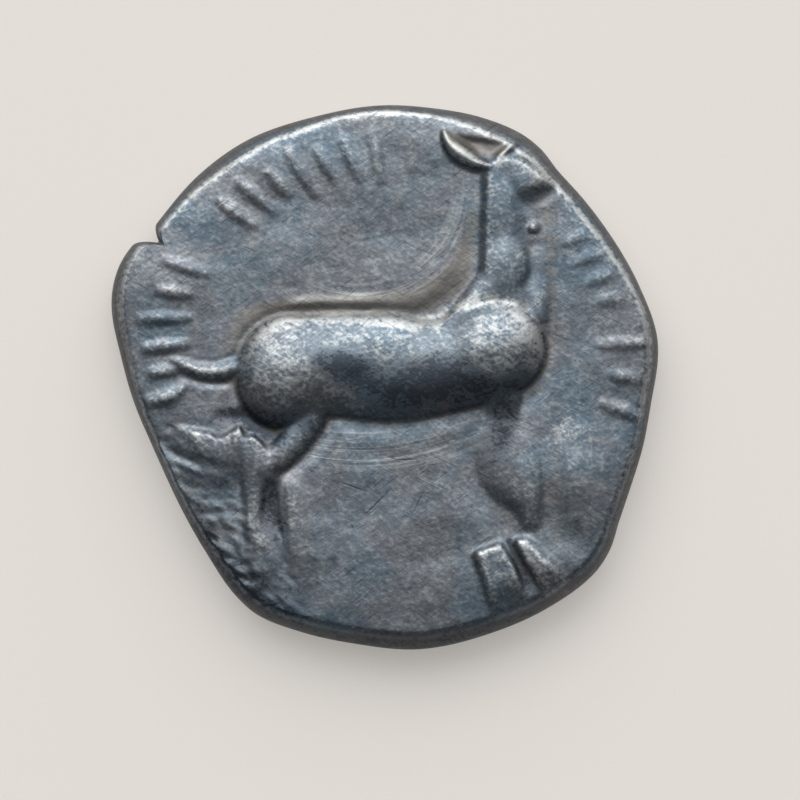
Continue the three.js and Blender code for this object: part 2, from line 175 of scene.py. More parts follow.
def smooth_path(stations, steps=5):
    """A curve through the stations, with every column of them interpolated."""
    stations = np.array(stations, float)
    padded = np.vstack([stations[:1], stations, stations[-1:]])
    path = []
    for before, start, end, after in zip(padded, padded[1:], padded[2:], padded[3:]):
        leaving, arriving = (end - before) / 2, (after - start) / 2
        for t in np.arange(steps) / steps:
            path.append(cubic(t, start, end - start, leaving, arriving))
    return np.array(path + [stations[-1]])


def limb(roundness, *stations):
    """Stations are (x, y, half-width, height). Only places near the limb are worked out."""
    path = smooth_path(stations)
    reach = path[:, 2].max()
    (low_x, low_y), (high_x, high_y) = path[:, :2].min(0) - reach, path[:, :2].max(0) + reach

    def height(x, y):
        near = (x > low_x) & (x < high_x) & (y > low_y) & (y < high_y)
        near_x, near_y = x[near], y[near]
        top = np.zeros_like(near_x)
        for (ax, ay, aw, ah), (bx, by, bw, bh) in zip(path, path[1:]):
            along = (near_x - ax) * (bx - ax) + (near_y - ay) * (by - ay)
            along = np.clip(along / ((bx - ax) ** 2 + (by - ay) ** 2), 0, 1)
            away = np.hypot(near_x - ax - along * (bx - ax), near_y - ay - along * (by - ay))
            swelling = dome(away / (aw + along * (bw - aw)), roundness)
            top = np.maximum(top, (ah + along * (bh - ah)) * swelling)
        result = np.zeros_like(x)
        result[near] = top
        return result

    return height


# %% Ovals and slabs
def oval(roundness, centre, half_sizes, turn, height):
    cos, sin = math.cos(math.radians(turn)), math.sin(math.radians(turn))

    def swelling(x, y):
        along = (x - centre[0]) * cos + (y - centre[1]) * sin
        across = (y - centre[1]) * cos - (x - centre[0]) * sin
        return height * dome(np.hypot(along / half_sizes[0], across / half_sizes[1]), roundness)

    return swelling


def smooth_step(value, start, end):
    t = np.clip((value - start) / (end - start), 0, 1)
    return t * t * (3 - 2 * t)


def slab(height, *corners):
    """A flat block. Corners are (x, y, width of the slope on the side that follows), clockwise."""

    def block(x, y):
        result = np.full_like(x, height)
        for (ax, ay, slope), (bx, by, _) in zip(corners, corners[1:] + corners[:1]):
            inside = ((x - ax) * (by - ay) - (y - ay) * (bx - ax)) / math.hypot(bx - ax, by - ay)
            result = result * smooth_step(inside, 0, slope)
        return result

    return block


FILLET_EXPONENT = 5


def melt(shapes, x, y):
    """Shapes that meet melt into each other, as the metal flowed into the die."""
    return sum(shape(x, y) ** FILLET_EXPONENT for shape in shapes) ** (1 / FILLET_EXPONENT)


# %% [markdown]
# ## The stag
#
# It stands to the right on long thin legs, with a barrel like a bolster between two rounder masses,
# the haunch and the shoulder. Each limb is a chain of stations. The near hind leg is the boldest
# after the body, and the foreleg is hardly there, because the die was weak or worn at that spot.

# %% The stag's body, neck and head
BODY, LIMB, SHIN, SOFT, GROOVE = 0.6, 0.7, 0.9, 1.2, 2

barrel = limb(
    BODY, (-30, 3, 17, 0.68), (-14, 3.6, 16.8, 0.72), (1, 3, 17.4, 0.74), (12, 2.4, 15.6, 0.71),
    (22, 4, 15.2, 0.71), (32, 6, 15.2, 0.72),
)
haunch = oval(BODY, (-32.5, 1.8), (15.6, 19), -14, 0.75)
shoulder = oval(BODY, (36.2, 9.2), (16.8, 16), 0, 0.9)
NECK_HEIGHT = 0.22
neck = slab(
    NECK_HEIGHT, (29.2, 8, 4), (30.8, 70, 3), (38.8, 73.8, 2.4), (45.6, 72.6, 9), (50, 53, 10),
    (51.4, 8, 9), (40, 2, 8),
)
withers = limb(LIMB, (38, 40, 5, 0.2), (35.4, 31, 6, 0.25), (30, 23.4, 6, 0.3), (23, 16, 5, 0.3))
throat = oval(BODY, (40, 37), (7.8, 11), 3, 0.33)
throat_edge = limb(SOFT, (50.4, 39, 4, 0.04), (51, 31, 4.6, 0.07), (49, 21, 5.6, 0.14))
pellet = oval(LIMB, (48.6, 49), (2.2, 2), 0, 0.14)
head = slab(
    NECK_HEIGHT, (31.4, 70, 3), (38.8, 73.8, 2.4), (45.6, 72.6, 2.2), (58, 62.4, 4), (55.4, 59, 9),
    (47, 50, 11), (36, 58, 9),
)
ear = limb(
    LIMB, (34.2, 69, 1.4, 0.3), (30, 69.9, 2.4, 0.36), (26.5, 72, 3.2, 0.4), (23, 74.6, 3.1, 0.38),
    (20.6, 77.5, 1.9, 0.3), (19.3, 81, 0.9, 0.12),
)
antler = limb(LIMB, (36, 70, 1.5, 0.2), (39, 73.4, 1.4, 0.2), (43, 77, 1.3, 0.1))

# %% The stag's tail and legs
tail = limb(
    SOFT, (-45, 4.4, 3.6, 0.26), (-52, 2, 3.4, 0.2), (-59, 1.6, 3, 0.18), (-65, 3.6, 2.4, 0.14),
    (-69, 5.4, 1.7, 0.05),
)
thigh = limb(
    BODY, (-24.5, -8, 7, 0.38), (-25, -13, 6, 0.35), (-28.6, -19.5, 5.2, 0.31), (-33, -24.6, 5, 0.28),
    (-39, -29.5, 5, 0.22),
)
SHELF_CREST = [
    (-68, -15), (-62, -16.4), (-57, -17.2), (-54.4, -19), (-50, -17), (-47.4, -14.8), (-45.6, -18.6),
    (-43, -18), (-40.6, -19.8), (-37.6, -23.4), (-34.7, -21),
]
SHELF_HEIGHT = 0.24
SHELF_SLOPE = 2
SHELF_FADE = 5, 22
SHELF_LEFT_END = -70, -60
SHELF_RIGHT_END = -36.5, -32.5


def hock_shelf(x, y):
    """High ground beside the hock, with a jagged upper edge. It fades out below and to both sides."""
    under_crest = np.interp(x, *zip(*SHELF_CREST)) - y
    fade = smooth_step(x, *SHELF_LEFT_END) * (1 - smooth_step(x, *SHELF_RIGHT_END))
    fade = fade * (1 - smooth_step(under_crest, *SHELF_FADE))
    return SHELF_HEIGHT * smooth_step(under_crest, 0, SHELF_SLOPE) * fade


near_hind_leg = limb(
    LIMB, (-40.6, -28, 5.4, 0.22), (-42, -33, 5.2, 0.18), (-42.8, -38, 4.6, 0.15), (-43.4, -43, 3.8, 0.13),
    (-43, -49, 3.8, 0.12), (-41.4, -54.5, 4.8, 0.11), (-39.6, -60, 5.2, 0.1), (-37.4, -65, 4.6, 0.04),
)
FAR_LEG_HEIGHT = 0.11
far_hind_leg = slab(
    FAR_LEG_HEIGHT, (-34.5, -33, 3), (-25, -31.5, 9), (-19, -47, 9), (-15, -66, 8), (-32.4, -64, 3),
)
far_hoof = limb(SOFT, (-29, -54, 5, 0.08), (-26.6, -60, 6, 0.12), (-25.6, -66, 5, 0.04))
foreleg = limb(
    SHIN, (38.3, -5, 7, 0.36), (38.5, -12, 5.6, 0.18), (38.5, -18, 7, 0.16), (39.4, -24.5, 10.4, 0.2),
    (41.4, -31, 10.6, 0.23), (44.8, -37, 7.4, 0.22), (47, -42, 5, 0.17), (48, -47, 3.6, 0.1),
)
BLOCK_HEIGHT = 0.27
BLOCKS = [
    slab(BLOCK_HEIGHT, (27.6, -57, 1.8), (40.6, -52.2, 1.6), (43.6, -61, 2), (52, -74, 14), (36, -83, 3)),
    slab(BLOCK_HEIGHT, (41.4, -52.8, 1.8), (52.2, -50, 2.4), (57.4, -60, 4), (66, -68, 14), (56, -77, 2),
         (45, -61.6, 1.6)),
]
STAG = [
    barrel, haunch, shoulder, neck, withers, throat, throat_edge, pellet, head, ear, antler,
    tail, thigh, hock_shelf, near_hind_leg, far_hind_leg, far_hoof, foreleg,
]
print("relief made of", len(STAG), "limbs and", len(BLOCKS), "blocks")

# %% [markdown]
# ## The rows of strokes
#
# Along the rim stand rows of short shallow strokes. They are limbs side by side on an arc, made by
# a loop. Waves of the index vary their length and lean, so that no two neighbours are alike.

# %% Rows of shallow strokes
STROKE_ROWS = [
    dict(count=7, start=132, end=92, radius=72, length=13, lean=12, strength=1),
    dict(count=3, start=165, end=151, radius=74, length=12, lean=14, strength=1),
    dict(count=3, start=185, end=172, radius=72, length=10, lean=14, strength=1.1),
    dict(count=4, start=36, end=19, radius=77, length=8, lean=-10, strength=0.5),
    dict(count=3, start=8, end=-8, radius=78, length=11, lean=-10, strength=0.8),
]
LENGTH_SWING, LENGTH_WAVE = 0.28, 2.5
LEAN_SWING, LEAN_WAVE = 3, 1.7
STROKE_SECTIONS = [(-1, 2, 0.5), (0, 2.7, 1), (1, 2.4, 0.7)]


def stroke_row(count, start, end, radius, length, lean, strength):
    for index, bearing in enumerate(np.radians(np.linspace(start, end, count))):
        direction = bearing + math.radians(lean + LEAN_SWING * math.sin(index * LEAN_WAVE + start))
        reach = length / 2 * (1 + LENGTH_SWING * math.sin(index * LENGTH_WAVE + start))
        stations = [
            (radius * math.cos(bearing) + share * reach * math.cos(direction),
             radius * math.sin(bearing) + share * reach * math.sin(direction), width, height * strength)
            for share, width, height in STROKE_SECTIONS
        ]
        yield limb(SOFT, *stations)


STROKES = [stroke for row in STROKE_ROWS for stroke in stroke_row(**row)]
print("strokes:", len(STROKES))

# %% [markdown]
# ## What the striking and the years left in the field
#
# The field is not flat. Metal flowed in ridges along the stag's back, dirt hides in the grooves
# beside the figure, and the lower left is rough. These are limbs again, raised or sunk, in
# millimetres this time, with gentle ripples over them. The ripples are sums of waves with a fixed
# seed, so each run gives the same coin.

# %% Grooves and ridges around the stag
back_groove = limb(
    GROOVE, (-46, -14, 2.4, 0.02), (-49.5, -4, 2, 0.05), (-49, 4, 2, 0.05), (-46, 13, 2.2, 0.04),
    (-37, 20, 2.4, 0.03), (-20, 21.4, 2.6, 0.03), (0, 21.6, 2.8, 0.035), (11, 20.6, 3.6, 0.05),
    (20, 25, 5.6, 0.05), (25.4, 31, 6.4, 0.05), (28, 38, 5.6, 0.045), (29.6, 50, 4.2, 0.025),
    (30.4, 66, 3, 0.015),
)
chest_groove = limb(
    GROOVE, (52, 58, 7, 0.02), (55.4, 45, 6, 0.04), (56, 32, 6, 0.05), (55, 22, 4, 0.05),
    (54.6, 8, 3.4, 0.05), (52, -3, 4, 0.04), (46, -9, 4, 0.03),
)
belly_groove = limb(GROOVE, (6, -17, 6, 0.01), (-8, -16.4, 6, 0.03), (-16, -12, 4.4, 0.05))
thigh_groove = limb(
    GROOVE, (-17, -10, 4, 0.05), (-20, -19.4, 4, 0.06), (-27.5, -27.4, 3.4, 0.06), (-34, -31.6, 3, 0.05),
)
hock_hollow = limb(
    GROOVE, (-54, -13.4, 3, 0.03), (-45, -12.6, 4, 0.05), (-38.4, -16, 4, 0.06), (-34, -18, 3, 0.03),
)
RECESS_DEPTH = 0.1
leg_recess = slab(
    RECESS_DEPTH, (-37.4, -32.2, 2.6), (-34.2, -34.2, 2.4), (-32.6, -47, 2.4), (-31.4, -59, 3),
    (-37.8, -50.9, 3.4), (-41.4, -42.7, 3), (-40.8, -36, 2.6),
)
leg_groove = limb(
    GROOVE, (-49.8, -29.6, 2.4, 0.02), (-47.5, -35.2, 2, 0.05), (-46.1, -43.7, 2, 0.06),
    (-45.8, -55, 1.8, 0.03),
)
knee_groove = limb(GROOVE, (22, -26, 9, 0.02), (29, -37, 10, 0.05), (37, -44.6, 8, 0.06), (43, -50, 5, 0.04))
foreleg_valley = limb(
    GROOVE, (52, -22, 6, 0.03), (55, -36, 8, 0.07), (56.6, -47, 8.6, 0.08), (62, -56, 7, 0.04),
)
jaw_hollow = limb(GROOVE, (44, 57, 4, 0.03), (49, 58, 5.4, 0.07), (55, 60.6, 3.4, 0.04))
tail_groove = limb(GROOVE, (-66, 0, 2, 0.03), (-58, -2, 2.2, 0.05), (-50, -2, 2.4, 0.06))
hock_groove = limb(
    GROOVE, (-76, -19, 2.4, 0.03), (-68, -25, 3, 0.06), (-60, -28.4, 3.4, 0.06), (-52, -30, 3, 0.03),
)
ear_recess = slab(
    RECESS_DEPTH, (19.6, 80, 2), (39.6, 77.4, 2), (42.4, 75.6, 2), (35.4, 71, 2), (26.5, 74.6, 2),
)
GROOVES = [
    back_groove, chest_groove, belly_groove, thigh_groove, hock_hollow, leg_recess, leg_groove, knee_groove,
    foreleg_valley, jaw_hollow, tail_groove, hock_groove, ear_recess,
]
RIDGES = [
    limb(GROOVE, (-31, 24, 2, 0.02), (-24, 24.6, 2.4, 0.05), (-10, 24.8, 2.6, 0.045), (4, 25.4, 3.2, 0.025),
         (16, 30, 5, 0.015), (22, 40, 5, 0.01)),
    limb(GROOVE, (-66, -3, 2.4, 0.05), (-69, -7.4, 3, 0.05), (-74, -8.4, 2.4, 0.03)),
    limb(GROOVE, (-14, -19, 4, 0.01), (2, -21, 5, 0.03), (18, -19, 5, 0.02), (30, -15, 4, 0.01)),
]
print("grooves:", len(GROOVES), "ridges:", len(RIDGES))

# %% Swellings, ripples and the rough corner
SWELLINGS = [
    ((62, -33), (13, 15), 0.2),
    ((-72, 30), (14, 16), 0.07),
    ((3, 52), (26, 16), -0.07),
    ((58, -60), (7, 4), 0.06),
    ((57, 48), (9, 22), 0.05),
]
ROUGH_PATCH = limb(
    SOFT, (-76, -16, 9, 0.6), (-64, -36, 13, 1), (-54, -54, 15, 1), (-42, -70, 16, 1), (-28, -80, 10, 0.6),
)
# Heights are in millimetres, and sizes in die units
FIELD_RIPPLES = [
    dict(height=0.013, size=24, seed=3),
    dict(height=0.004, size=9, seed=4),
    dict(height=0.0015, size=4, seed=7),
]
FOLDS = dict(height=0.024, size=6, seed=5)
CREASES = dict(height=0.011, size=2.6, seed=6)
FOLD_TURN = math.radians(-32)
FOLD_STRETCH = 2.2
LEAST_STRETCH, MOST_STRETCH = 0.7, 1.5


def ripples(x, y, size, seed, waves=24):
    """A smooth random surface about 1 high, with bumps about half a `size` across."""
    random = np.random.default_rng(seed)
    directions = random.uniform(0, math.pi, waves)
    phases = random.uniform(0, math.tau, waves)
    stretches = random.uniform(LEAST_STRETCH, MOST_STRETCH, waves)
    total = np.zeros_like(x)
    for direction, phase, stretch in zip(directions, phases, stretches):
        wave = (x * math.cos(direction) + y * math.sin(direction)) * math.tau / (size * stretch)
        total += np.sin(wave + phase)
    return total / math.sqrt(waves / 2)


def swellings(x, y):
    return sum(height * np.exp(-((x - cx) / sx) ** 2 - ((y - cy) / sy) ** 2)
               for (cx, cy), (sx, sy), height in SWELLINGS)


def folds_and_creases(x, y):
    """Long wrinkles side by side, all leaning the same way."""
    cos, sin = math.cos(FOLD_TURN), math.sin(FOLD_TURN)
    along, across = (x * cos + y * sin) / FOLD_STRETCH, y * cos - x * sin
    folds = FOLDS["height"] * np.abs(ripples(along, across, FOLDS["size"], FOLDS["seed"]))
    return folds + CREASES["height"] * ripples(along, across, CREASES["size"], CREASES["seed"])


def field_detail(x, y):
    """Heights in mm, at places in die units."""
    raised_parts = np.max([ridge(x, y) for ridge in RIDGES], axis=0)
    sunk_parts = np.max([groove(x, y) for groove in GROOVES], axis=0)
    rippled = sum(wave["height"] * ripples(x, y, wave["size"], wave["seed"]) for wave in FIELD_RIPPLES)
    return swellings(x, y) + raised_parts - sunk_parts + rippled + ROUGH_PATCH(x, y) * folds_and_creases(x, y)


# %% [markdown]
# ## The two faces
#
# Each face is now one function from a place on the coin to a height. The stag side is the field,
# its detail and the figure. The underside is never seen in the photo, so it is plainer: a branch,
# which suits the type, with its top and the rim rubbed flat in the plane that the coin lies on.

# %% Heights of the stag side
RIM_FACET_WIDTH = 0.1 * MM
RIM_FACET_SLOPE = 0.5
RIM_FACET_SPREAD = [
    (0, 1.6), (20, 1.8), (45, 1.8), (70, 1.4), (90, 1.6), (120, 1.7), (140, 1.5), (153, 1.6), (165, 1.4),
    (178, 0.7), (195, 0.3), (215, 0.2), (250, 0.2), (280, 0.2), (320, 0.2), (345, 0.6),
]


def rim_facet(bearing, from_edge):
    """0 on the field, growing over the narrow slope just inside the arris to the slope's spread."""
    width = RIM_FACET_WIDTH * around(RIM_FACET_SPREAD, bearing)
    return np.clip(1 - (from_edge - edge_width(bearing)) / width, 0, 1) * width / RIM_FACET_WIDTH


def stag_side(x, y):
    die_x, die_y = x / DIE_UNIT, y / DIE_UNIT
    bearing = np.degrees(np.arctan2(y, x))
    radius = flan_radius(bearing)
    fall = FIELD_FALL * (np.hypot(x, y) / radius) ** FALL_SHARPNESS
    fall += RIM_FACET_SLOPE * RIM_FACET_WIDTH * rim_facet(bearing, radius - np.hypot(x, y))
    figure = STAG_RELIEF * melt(STAG + BLOCKS, die_x, die_y)
    strokes = STROKE_RELIEF * melt(STROKES, die_x, die_y)
    return FLAN_THICKNESS - fall + field_detail(die_x, die_y) * MM + np.maximum(figure, strokes)


# %% Heights of the underside
UNDER_SINK = 0.24 * MM
UNDER_WEAR = 1.5
UNDER_RIM_WIDTH = 1.5 * MM
BRANCH_LENGTH = 12 * MM
BRANCH_UNIT = BRANCH_LENGTH / 100
BRANCH_LEAF_PAIRS = 5
LOWEST_FOOT, FOOT_CLIMB = -32, 58
LONGEST_REACH, REACH_LOSS = 34, 10
FOOT_OFFSET = 2
LEAF_HALF_WIDTH, TIP_HALF_WIDTH = 7, 2.3
# Shares of the leaf's reach, outwards and upwards, and the height there
LEAF_MIDDLE = 0.6, 0.3, 1
LEAF_TIP = 1, 0.75, 0.8
FOOT_HEIGHT = 0.9


def leaf(side, share):
    foot = LOWEST_FOOT + FOOT_CLIMB * share
    reach = LONGEST_REACH - REACH_LOSS * share

    def station(outwards, upwards, height, half_width):
        return side * reach * outwards, foot + reach * upwards, half_width, height

    stem = (side * FOOT_OFFSET, foot, TIP_HALF_WIDTH, FOOT_HEIGHT)
    return limb(BODY, stem, station(*LEAF_MIDDLE, LEAF_HALF_WIDTH), station(*LEAF_TIP, TIP_HALF_WIDTH))


BRANCH = [limb(LIMB, (-4, -50, 4.4, 1), (1, -20, 5, 1), (0, 5, 5, 1), (-4, 50, 3, 1))]
BRANCH += [leaf(side, share) for side in (-1, 1) for share in np.linspace(0, 1, BRANCH_LEAF_PAIRS)]


def underside(x, y):
    from_edge = flan_radius(np.degrees(np.arctan2(y, x))) - UNDER_EDGE_WIDTH - np.hypot(x, y)
    rim = smooth_step(UNDER_RIM_WIDTH - from_edge, 0, UNDER_RIM_WIDTH)
    branch = melt(BRANCH, x / BRANCH_UNIT, y / BRANCH_UNIT)
    return UNDER_SINK * (1 - UNDER_WEAR * np.maximum(rim, branch))


# %% [markdown]
# ## Wear
#
# Handling rounds what the die left sharp. On a picture that is a blur, and it is one here too: the
# heights are laid out on a fine square raster and blurred by a fraction of a millimetre. A fast
# Fourier transform blurs by any amount at the same cost. The mesh then reads the worn heights.

# %% A raster of heights, its blur, and reading it at any place
RASTER_STEP = 0.045 * MM
RASTER_HALF = 10.9 * MM
raster_line = np.arange(-RASTER_HALF, RASTER_HALF, RASTER_STEP)
raster_x, raster_y = np.meshgrid(raster_line, raster_line)


def blur(raster, radius):
    rows, columns = raster.shape
    frequency = np.hypot(np.fft.fftfreq(rows)[:, None], np.fft.rfftfreq(columns)) / RASTER_STEP
    fading = np.exp(-2 * (math.pi * radius * frequency) ** 2)
    return np.fft.irfft2(np.fft.rfft2(raster) * fading, raster.shape)


def read_raster(raster, x, y):
    column, row = (x + RASTER_HALF) / RASTER_STEP, (y + RASTER_HALF) / RASTER_STEP
    left, low = column.astype(int), row.astype(int)
    right_share, high_share = column - left, row - low
    lower = raster[low, left] * (1 - right_share) + raster[low, left + 1] * right_share
    upper = raster[low + 1, left] * (1 - right_share) + raster[low + 1, left + 1] * right_share
    return lower * (1 - high_share) + upper * high_share


WEAR_RADIUS = 0.05 * MM
UNDER_WEAR_RADIUS = 0.1 * MM
stag_raster = blur(stag_side(raster_x, raster_y), WEAR_RADIUS)
under_raster = np.clip(blur(underside(raster_x, raster_y), UNDER_WEAR_RADIUS), 0, None)
print("raster:", stag_raster.shape, "highest point, mm:", round(stag_raster.max() / MM, 2))

# %% [markdown]
# ## From heights to a mesh
#
# Blender's grid is square and the coin is round. Bending each square ring of the grid into a ring
# of the coin keeps all cells about the same size, which a fan of slices would not.

# %% Bending a square grid to the round
STAG_SIDE_CELLS = 260
UNDERSIDE_CELLS = STAG_SIDE_CELLS // 2
CRACK_FADE = 10


def under_edge_width(bearing):
    """The same at every bearing, in the form that the grid and the edge ask for."""
    return UNDER_EDGE_WIDTH


def disc_grid(cells, edge):
    u, v = np.meshgrid(np.linspace(-1, 1, cells + 1), np.linspace(-1, 1, cells + 1))
    share = np.maximum(np.abs(u), np.abs(v))
    sideways = np.abs(u) >= np.abs(v)
    with np.errstate(divide="ignore", invalid="ignore"):
        bearing = np.where(sideways, 45 * v / u + 180 * (u < 0), 90 - 45 * u / v + 180 * (v < 0))
    bearing = np.where(share == 0, 0, bearing)
    radius = share * (flan_radius(bearing) - edge(bearing)) - share ** CRACK_FADE * crack_depth(bearing)
    return radius * np.cos(np.radians(bearing)), radius * np.sin(np.radians(bearing))


def border(grid):
    """The outermost ring of a grid, counterclockwise from the corner at bearing -135 degrees."""
    return np.concatenate([grid[0, :-1], grid[:-1, -1], grid[-1, :0:-1], grid[:0:-1, 0]])


top_x, top_y = disc_grid(STAG_SIDE_CELLS, edge_width)
top_z = read_raster(stag_raster, top_x, top_y)
under_x, under_y = disc_grid(UNDERSIDE_CELLS, under_edge_width)
under_z = read_raster(under_raster, under_x, under_y)
print("stag side, mm:", round(top_z.min() / MM, 2), "to", round(top_z.max() / MM, 2))

# %% [markdown]
# ## The edge
#
# The flan's edge is a rounded wall with a soft arris above. Rows of points run over it from the
# border of one face to the border of the other, along a quarter of an ellipse that starts with the
# slope of the arris. The stag side has twice as many points around, so one row in the middle joins
# two cells to one.

# %% Rows of points over the edge
EDGE_STEPS = 6
ARRIS_TURN = math.radians(22)
CRUMBLE_DEPTH = 0.05 * MM
CRUMBLE_SIZE = 5


def crumbled(x, y, turn):
    """How far the rough corner of the edge is eaten away. The outline itself stays whole."""
    die_x, die_y = x / DIE_UNIT, y / DIE_UNIT
    depth = CRUMBLE_DEPTH * math.cos(turn) * ROUGH_PATCH(die_x, die_y)
    seed = round(math.degrees(turn))
    return depth * np.abs(ripples(die_x, die_y, CRUMBLE_SIZE, seed))


def edge_row(cells, edge, raster, fall, turn):
    bearing = -135 + 90 * np.arange(4 * cells) / cells
    cos, sin = np.cos(np.radians(bearing)), np.sin(np.radians(bearing))
    inward = (1 - math.sin(turn)) / (1 - math.sin(ARRIS_TURN))
    downward = 1 - math.cos(turn) / math.cos(ARRIS_TURN)
    radius = flan_radius(bearing) - crack_depth(bearing) - edge(bearing) * inward
    radius -= crumbled(radius * cos, radius * sin, turn)
    x, y = radius * cos, radius * sin
    return np.stack([x, y, read_raster(raster, x, y) + fall * downward], axis=1)


turns = np.linspace(ARRIS_TURN, math.pi / 2, EDGE_STEPS + 1)
upper_rows = [edge_row(STAG_SIDE_CELLS, edge_width, stag_raster, -EDGE_DROP, turn) for turn in turns[1:]]
lower_rows = [edge_row(UNDERSIDE_CELLS, under_edge_width, under_raster, UNDER_EDGE_RISE, turn)
              for turn in turns[:0:-1]]
edge_points = np.vstack(upper_rows + lower_rows)
print("rows over the edge:", len(upper_rows) + len(lower_rows))


# %% Joining faces and edge into one mesh
def grid_faces(ids):
    return np.stack([ids[:-1, :-1], ids[:-1, 1:], ids[1:, 1:], ids[1:, :-1]], axis=-1).reshape(-1, 4)


def band_faces(above, below):
    """Cells between two rings, or three triangles where two points above meet one below."""
    next_above, next_below = np.roll(above, -1), np.roll(below, -1)
    if len(above) == len(below):
        return np.stack([above, below, next_below, next_above], axis=-1).tolist()
    start, middle, end = above[::2], above[1::2], next_above[1::2]
    corners = [(start, below, middle), (middle, below, next_below), (middle, next_below, end)]
    return [face for triple in corners for face in np.stack(triple, axis=-1).tolist()]


top_points = np.stack([top_x, top_y, top_z], axis=-1).reshape(-1, 3)
under_points = np.stack([under_x, under_y, under_z], axis=-1).reshape(-1, 3)
top_ids = np.arange(len(top_points)).reshape(top_x.shape)
rings = [border(top_ids)]
next_id = len(top_points)
for row in upper_rows + lower_rows:
    rings.append(np.arange(next_id, next_id + len(row)))
    next_id += len(row)
under_ids = np.arange(next_id, next_id + len(under_points)).reshape(under_x.shape)
rings.append(border(under_ids))

faces = grid_faces(top_ids).tolist() + grid_faces(under_ids)[:, ::-1].tolist()
for above, below in zip(rings, rings[1:]):
    faces += band_faces(above, below)

mesh = bpy.data.meshes.new("struck_coin")
mesh.from_pydata(np.vstack([top_points, edge_points, under_points]), [], faces)
mesh.shade_smooth()
coin = bpy.data.objects.new("struck_coin", mesh)
bpy.context.scene.collection.objects.link(coin)
mesh.calc_loop_triangles()
print("triangles:", len(mesh.loop_triangles))

# %% [markdown]
# ## Where the metal is rubbed, where dirt stays, and where light and shade are painted
#
# A mask is a number from 0 to 1 or so at each place. Some masks are listed patches: dark patina, part
# of it painted shade; spots rubbed bare, some of them painted highlights; stains; and streaks where
# the metal flowed under the hammer. The others come from the heights. Comparing each height with a
# wide blur of itself tells high places from hollows, and blur is what the raster is good at. All masks
# go into the mesh as attributes, one number at each point, which the material reads by name.

# %% Dark patches of patina, and painted shade
PATCH_ROUNDNESS = 1


def patch(*stations):
    """Stations as for a limb, with how strong the patch is there in place of a height."""
    return limb(PATCH_ROUNDNESS, *stations)


PATINA_AND_SHADE = [
    # The first patch, along the stag's lower flank, is partly patina and partly painted shade on the side
    # away from the lamp.
    patch((-21, 6, 5, 0.9), (-13, 3, 7, 1.4), (-4, -1, 8, 1.1), (4, -4, 10, 1.1), (18, 0, 10, 1.4),
          (26, -3, 9, 1.1), (36, -4, 6, 0.8), (46, 0, 5, 0.6)),
    # The next two patches, under the haunch, are painted shade.
    patch((-54, -12, 4, 0.6), (-47, -12.6, 5, 1.3), (-41, -16, 5, 1.5), (-35, -20, 5, 1.3)),
    patch((-46, -8, 4, 0.5), (-38, -14, 5, 1), (-28, -14, 5, 0.6)),
    patch((41, -53.6, 2.2, 1), (43.8, -60.6, 2.4, 1.3), (46.6, -67, 2.2, 1)),
    patch((-37.4, -34, 4, 0.7), (-36.6, -45, 5, 1), (-33, -56, 3, 0.6)),
    patch((-85, 50, 4, 1), (-79, 46.4, 4, 1), (-74, 43.4, 3, 0.6)),
    patch((38.5, -8, 5.4, 1), (38.5, -18, 6, 1), (35, -25, 6, 0.5)),
    # This patch is painted shadow under the jaw.
    patch((45, 56, 5, 0.4), (50, 59, 4, 0.4)),
    patch((-66, -38, 4, 0.5), (-62, -46, 6, 0.8), (-54, -60, 7, 1), (-42, -71, 8, 1), (-28, -79, 7, 0.8)),
    patch((-28, -84, 5, 0.6), (-8, -87, 5, 0.8), (14, -88, 5, 0.8), (40, -82, 5, 0.7), (56, -74, 4, 0.5)),
]
print("dark patches:", len(PATINA_AND_SHADE))

# %% Places rubbed bare, painted highlights, and where the metal flowed in streaks
BARE_AND_HIGHLIT_SPOTS = [
    patch((-34, 6, 6, 0.1), (-30, 2, 7, 0.2), (-27, -3, 5, 0.1)),
    # A painted highlight on the lit upper slope of the swelling by the foreleg.
    patch((54, -20, 5, 0.2), (61, -17, 6, 0.5), (67, -20, 5, 0.2)),
    patch((-2.5, 12, 3, 0.2), (-1, 3, 2.6, 0.5), (1, -3, 2, 0.2)),
]
# A painted highlight along the lit upper edge of the stag's body, coloured as bare metal.
CREST_HIGHLIGHT = limb(
    GROOVE, (-47, 0, 3, 0.3), (-45.4, 9, 3.6, 0.6), (-38, 17.6, 4, 0.8), (-26, 19.4, 4, 0.8),
    (-8, 19.8, 4, 0.8), (6, 18.4, 4, 0.8), (18, 18.4, 4.2, 0.8), (24, 22.6, 4, 0.8), (36, 24.8, 4, 0.8),
    (46, 19.8, 4, 0.8), (52, 10, 4, 0.6), (52.6, 2, 3, 0.3),
)
STREAKS = [
    patch((-34, 26, 5, 0.3), (-18, 27, 6, 0.8), (4, 28, 7, 1), (17, 36, 8, 1), (24, 50, 7, 0.8),
          (26, 64, 5, 0.3)),
    patch((-30, -26, 7, 0.5), (-12, -24, 8, 1), (10, -24, 8, 0.9), (30, -20, 6, 0.4)),
]
print("bare spots:", len(BARE_AND_HIGHLIT_SPOTS), "streaks:", len(STREAKS))

